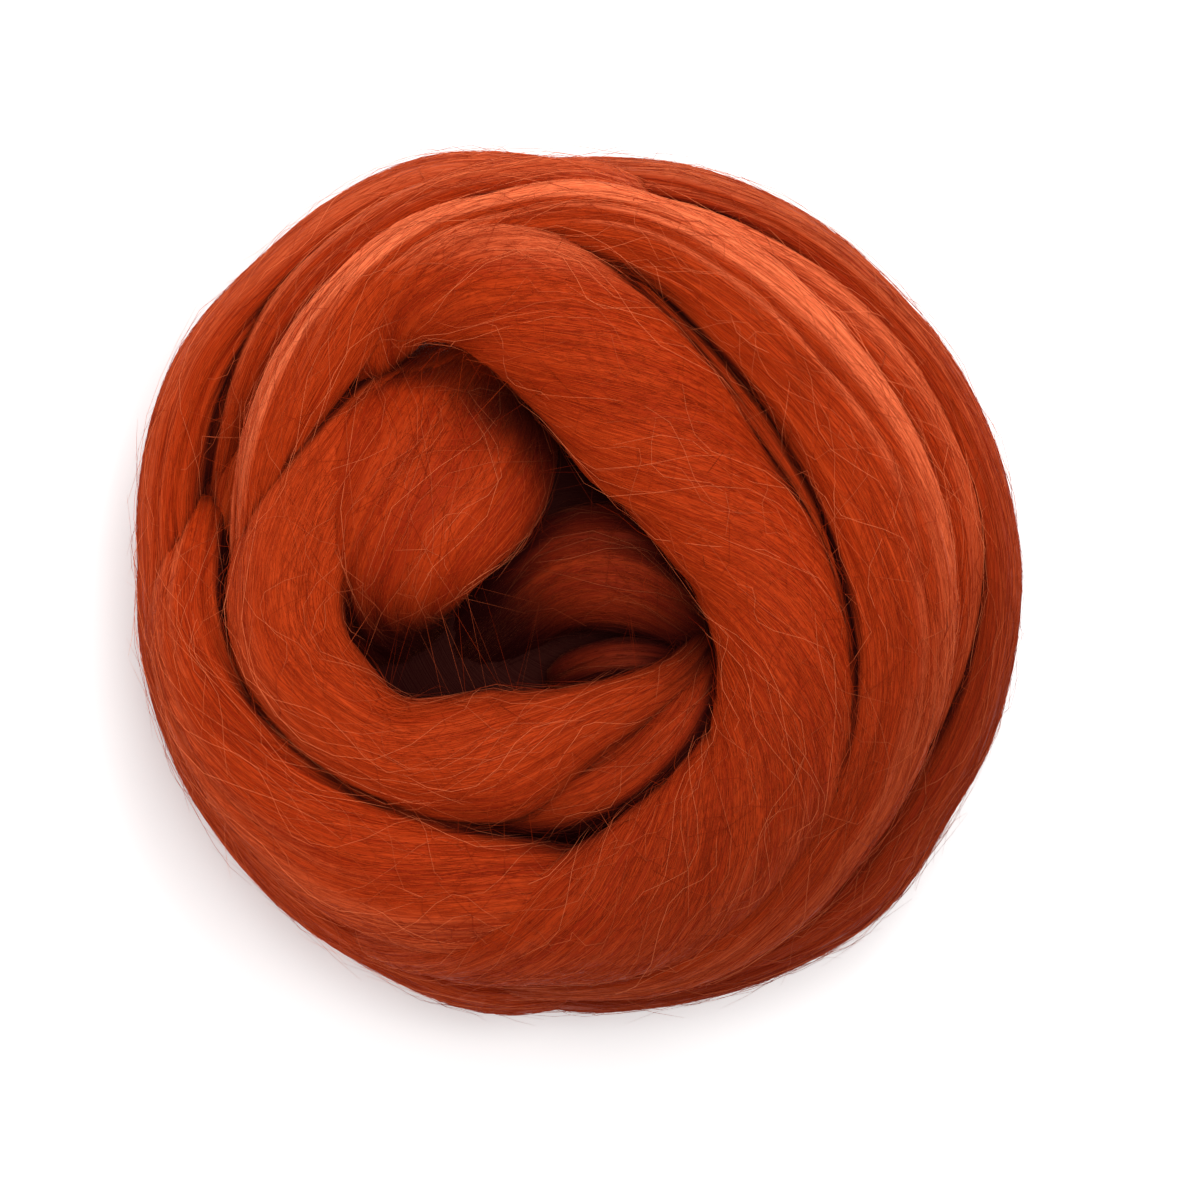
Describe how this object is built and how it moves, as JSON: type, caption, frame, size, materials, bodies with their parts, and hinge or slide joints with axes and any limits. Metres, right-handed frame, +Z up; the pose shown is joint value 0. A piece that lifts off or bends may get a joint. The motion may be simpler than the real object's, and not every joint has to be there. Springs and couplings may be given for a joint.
{
  "type": "wool roving nest",
  "caption": "Soft round nest of combed wool roving, wound on itself in broad strands round a shallow hollow, burnt orange, resting on a flat spot.",
  "frame": {"origin": "middle of the flat spot underneath, on which the nest rests", "axes": "+Z up, out of the hollow in the top; +X to the right and +Y away, as the nest lies in the picture taken from straight above"},
  "size_m": [0.1395, 0.1368, 0.0634],
  "materials": {
    "wool": "soft brushed fibre, dyed burnt orange"
  },
  "bodies": {
    "root": {"roving_nest": "wool"}
  },
  "joints": []
}
